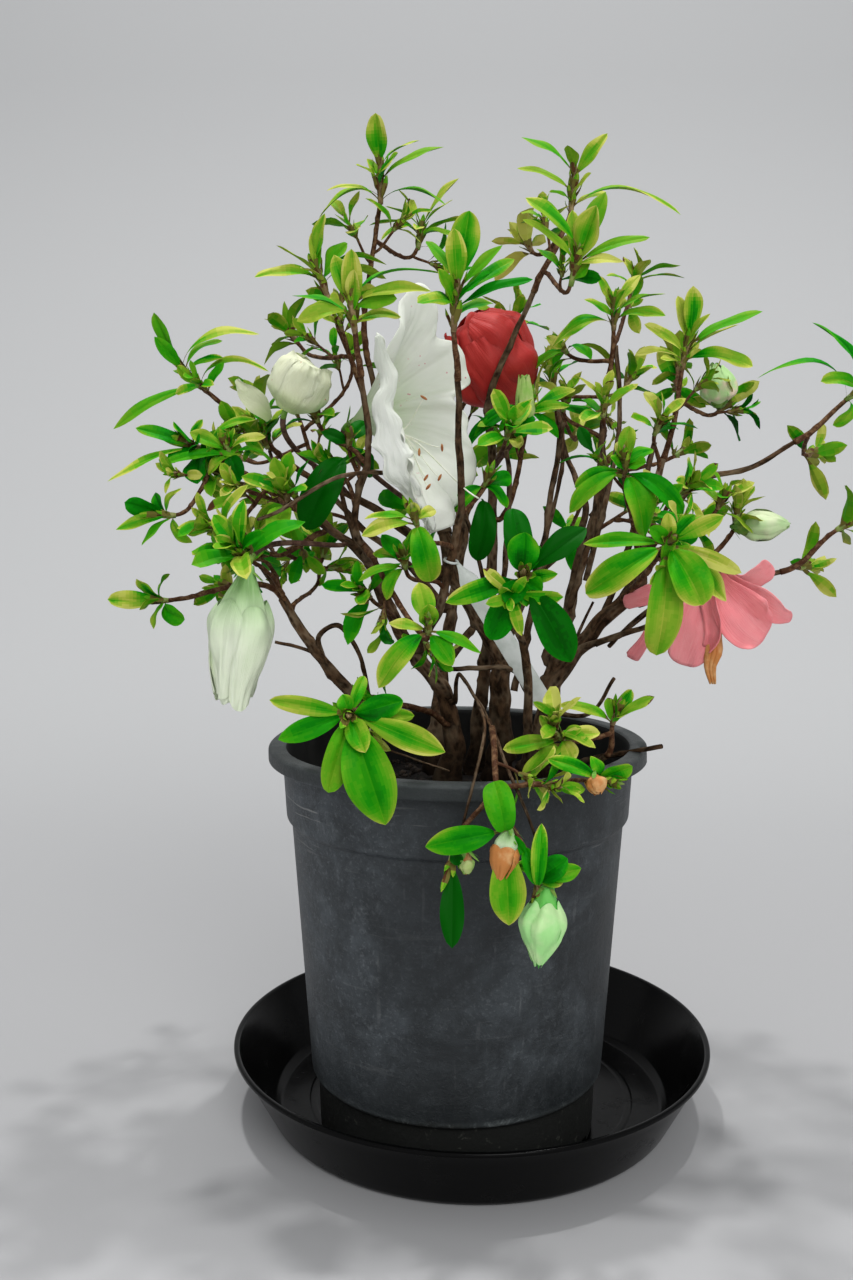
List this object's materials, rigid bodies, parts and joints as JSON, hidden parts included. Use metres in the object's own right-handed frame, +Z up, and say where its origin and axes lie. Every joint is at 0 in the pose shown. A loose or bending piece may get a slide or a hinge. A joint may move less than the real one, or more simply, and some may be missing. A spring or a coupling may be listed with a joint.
{
  "type": "potted azalea bonsai",
  "caption": "Small azalea in flower with bare, forked stems and leafy twig tips, in a round nursery pot on a deep saucer.",
  "frame": {"origin": "centre of the saucer's flat underside, on the surface that the plant stands on", "axes": "+Z up; -Y is the front, the side that the picture shows; +X is the right-hand side seen from the front"},
  "size_m": [0.3451, 0.275, 0.476],
  "materials": {
    "saucer": "glossy black plastic",
    "pot": "weathered dark grey plastic with pale scuffs and a dirty foot",
    "soil": "damp peaty potting mix with crumbs and bark",
    "label": "blank pale plastic strip",
    "bark": "rough grey-brown bark",
    "leaf": "small leathery green leaves, yellow-green at the edges",
    "petal_white": "thin white petals with a green throat",
    "petal_green_white": "closed pale green-white petals",
    "petal_cream": "cream flower bud",
    "petal_red": "red petals",
    "petal_pink": "salmon-pink fading petals"
  },
  "bodies": {
    "root": {"saucer": "saucer", "pot": "pot", "soil": "soil", "plant_label": "label", "stem_back": "bark", "stem_centre": "bark", "stem_front": "bark", "stem_front_tall": "bark", "stem_inner": "bark", "stem_left": "bark", "stem_left_low": "bark", "stem_right": "bark", "stem_right_upright": "bark", "bough_back_left": "bark", "bough_back_low": "bark", "bough_back_right": "bark", "bough_far_high": "bark", "bough_far_low": "bark", "bough_front_hanging": "bark", "bough_front_left": "bark", "bough_left": "bark", "bough_left_back": "bark", "bough_left_top": "bark", "bough_right": "bark", "bough_right_high": "bark", "bough_right_top": "bark", "bough_rim_right": "bark", "bloom_pink": "petal_pink", "bloom_red": "petal_red", "bloom_white_closed": "petal_green_white", "bloom_white_open": "petal_white", "bud_cream": "petal_cream", "leaves_back_centre": "leaf", "leaves_back_high": "leaf", "leaves_back_left_high": "leaf", "leaves_back_left_low": "leaf", "leaves_back_right": "leaf", "leaves_back_right_low": "leaf", "leaves_centre": "leaf", "leaves_far_right_high": "leaf", "leaves_far_right_low": "leaf", "leaves_front_centre": "leaf", "leaves_front_hanging": "leaf", "leaves_front_left": "leaf", "leaves_front_left_low": "leaf", "leaves_front_upper": "leaf", "leaves_front_upper_left": "leaf", "leaves_high_right": "leaf", "leaves_left": "leaf", "leaves_left_inner": "leaf", "leaves_left_low": "leaf", "leaves_left_shoulder": "leaf", "leaves_right": "leaf", "leaves_right_front": "leaf", "leaves_right_front_low": "leaf", "leaves_right_middle": "leaf", "leaves_rim_right": "leaf", "leaves_top_left": "leaf", "leaves_top_right": "leaf", "leaves_upper_left": "leaf"}
  },
  "joints": []
}
